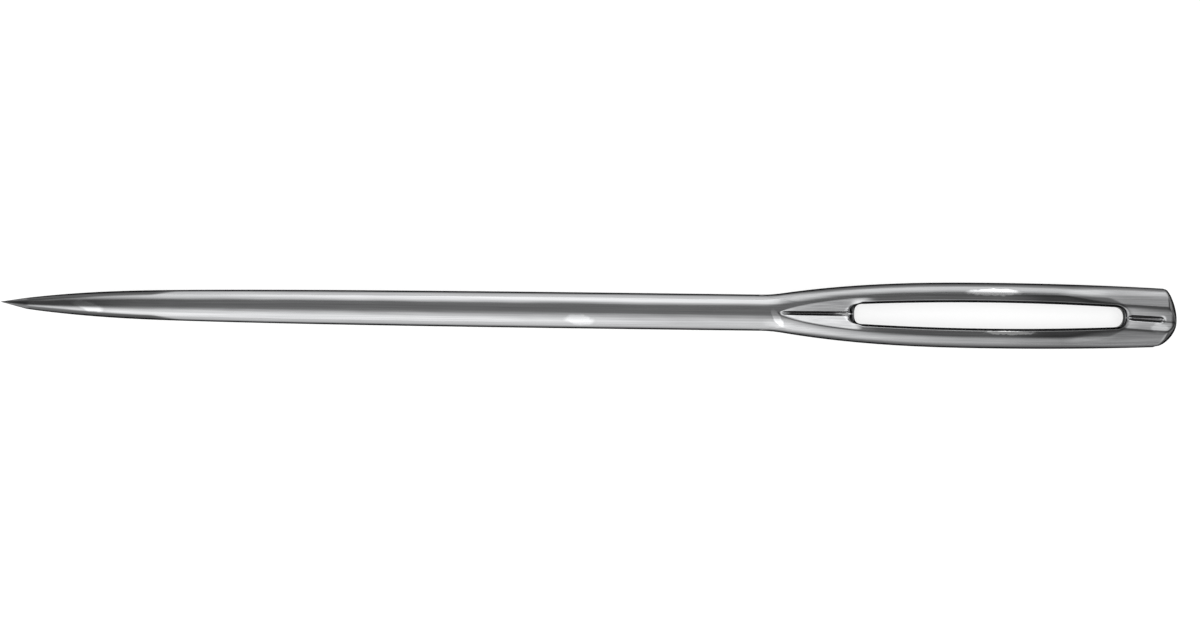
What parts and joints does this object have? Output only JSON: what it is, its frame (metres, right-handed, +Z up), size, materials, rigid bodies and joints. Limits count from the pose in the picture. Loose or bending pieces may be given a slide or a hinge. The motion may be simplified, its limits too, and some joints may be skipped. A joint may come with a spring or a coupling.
{
  "type": "yarn needle",
  "caption": "Straight steel yarn needle with a sharp round point and a flattened, guttered head with a long eye for thick yarn.",
  "frame": {"origin": "centre of the bounding box in plan, on the surface that the needle lies on", "axes": "+X along the needle from the point to the eye end, +Z up through the eye, +Y across the head"},
  "size_m": [0.07, 0.004, 0.0022],
  "materials": {
    "steel": "polished and nickel plated steel"
  },
  "bodies": {
    "root": {"needle": "steel"}
  },
  "joints": []
}
